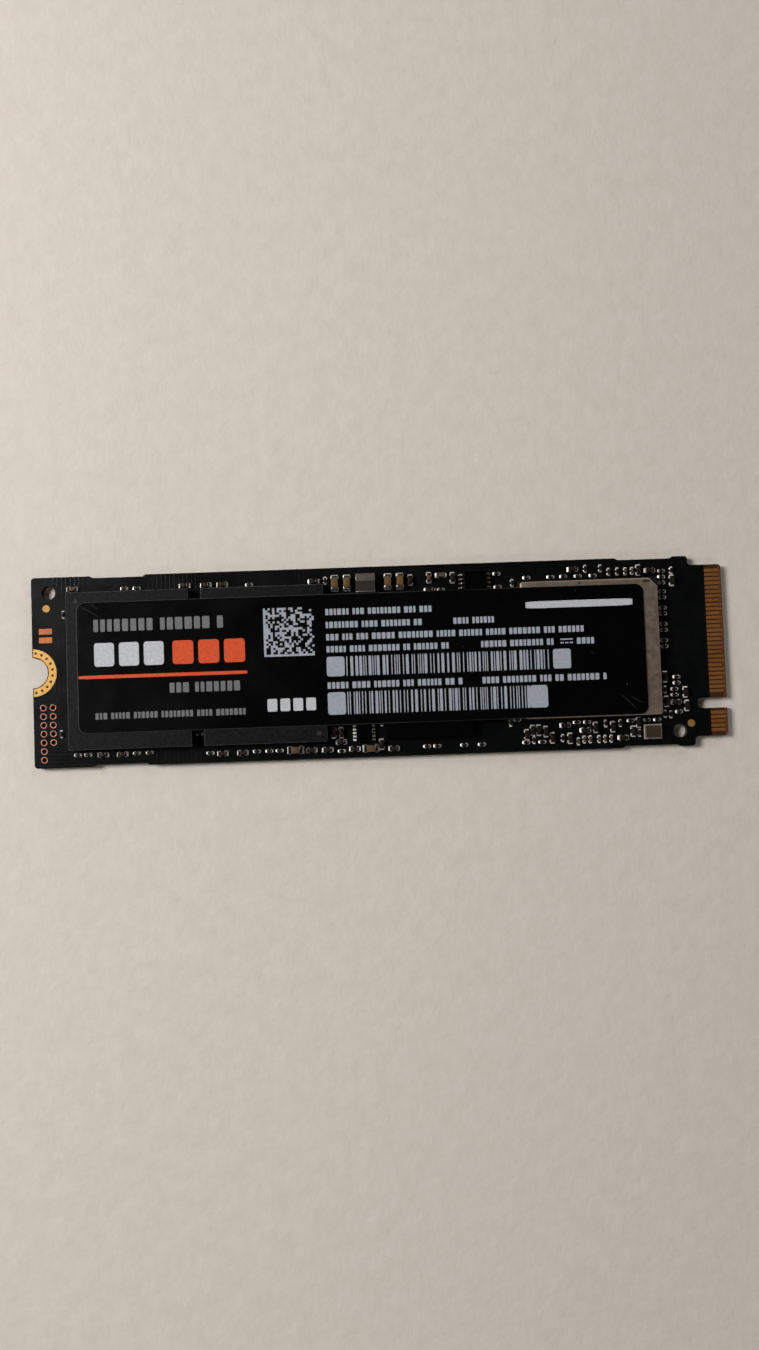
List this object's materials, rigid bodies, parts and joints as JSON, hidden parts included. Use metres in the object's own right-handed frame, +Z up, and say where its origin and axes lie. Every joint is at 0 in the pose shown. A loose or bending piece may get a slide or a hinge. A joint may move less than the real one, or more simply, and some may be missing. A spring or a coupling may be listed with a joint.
{
  "type": "m.2 solid-state drive",
  "caption": "Thin rectangular circuit board with a keyed gold edge connector, a half-moon screw notch, flat chip packages under a black film label and rows of small chip parts.",
  "frame": {"origin": "centre of the board's underside, where the drive rests", "axes": "+X along the board towards the edge connector, +Y across the board away from the key slot, +Z up out of the component side"},
  "size_m": [0.08, 0.022, 0.0022],
  "materials": {
    "solder_mask": "satin black solder mask on laminate",
    "gold_pads": "bright gold plating",
    "copper_pads": "copper, slightly oxidised",
    "gold_contacts": "worn hard gold plating",
    "mould_compound": "fine-grained moulded epoxy",
    "package_substrate": "dark laminate",
    "nickel_lid": "warm grey satin nickel plating",
    "solder": "reflowed solder",
    "tin_terminals": "tin plating with solder fillets",
    "dark_chips": "dark fired ceramic",
    "tan_chips": "tan fired ceramic",
    "inductor_core": "pressed iron powder",
    "inductor_bands": "tinned metal",
    "crystal_base": "fired ceramic",
    "crystal_lid": "plated metal can",
    "label_film": "satin black film"
  },
  "bodies": {
    "root": {"circuit_board": "solder_mask", "screw_pad_top": "gold_pads", "screw_pad_bottom": "gold_pads", "fiducial_marks": "gold_pads", "test_pads": "copper_pads", "test_sleeves": "copper_pads", "top_ground_contacts": "gold_contacts", "top_signal_contacts": "gold_contacts", "bottom_power_contacts": "gold_contacts", "bottom_signal_contacts": "gold_contacts", "flash_package_outer": "mould_compound", "flash_package_inner": "mould_compound", "flash_solder_joints": "solder", "memory_package": "mould_compound", "memory_solder_joints": "solder", "controller_substrate": "package_substrate", "controller_lid": "nickel_lid", "controller_solder_joints": "solder", "label": "label_film", "inductor_core": "inductor_core", "inductor_bands": "inductor_bands", "regulator_body": "mould_compound", "regulator_pads": "tin_terminals", "load_switch_body": "mould_compound", "load_switch_leads": "tin_terminals", "crystal_base": "crystal_base", "crystal_lid": "crystal_lid", "flash_top_chip_bodies": "dark_chips", "flash_top_chip_terminals": "tin_terminals", "flash_bottom_chip_bodies": "dark_chips", "flash_bottom_chip_terminals": "tin_terminals", "screw_end_chip_bodies": "dark_chips", "screw_end_chip_terminals": "tin_terminals", "power_top_chip_bodies": "dark_chips", "power_top_chip_terminals": "tin_terminals", "power_bottom_chip_bodies": "dark_chips", "power_bottom_chip_terminals": "tin_terminals", "memory_bottom_chip_bodies": "dark_chips", "memory_bottom_chip_terminals": "tin_terminals", "controller_top_chip_bodies": "dark_chips", "controller_top_chip_terminals": "tin_terminals", "controller_bottom_chip_bodies": "dark_chips", "controller_bottom_chip_terminals": "tin_terminals", "coupling_chip_bodies": "dark_chips", "coupling_chip_terminals": "tin_terminals", "connector_side_chip_bodies": "dark_chips", "connector_side_chip_terminals": "tin_terminals", "tan_chip_bodies": "tan_chips", "tan_chip_terminals": "tin_terminals", "bulk_capacitor_bodies": "tan_chips", "bulk_capacitor_terminals": "tin_terminals"}
  },
  "joints": []
}
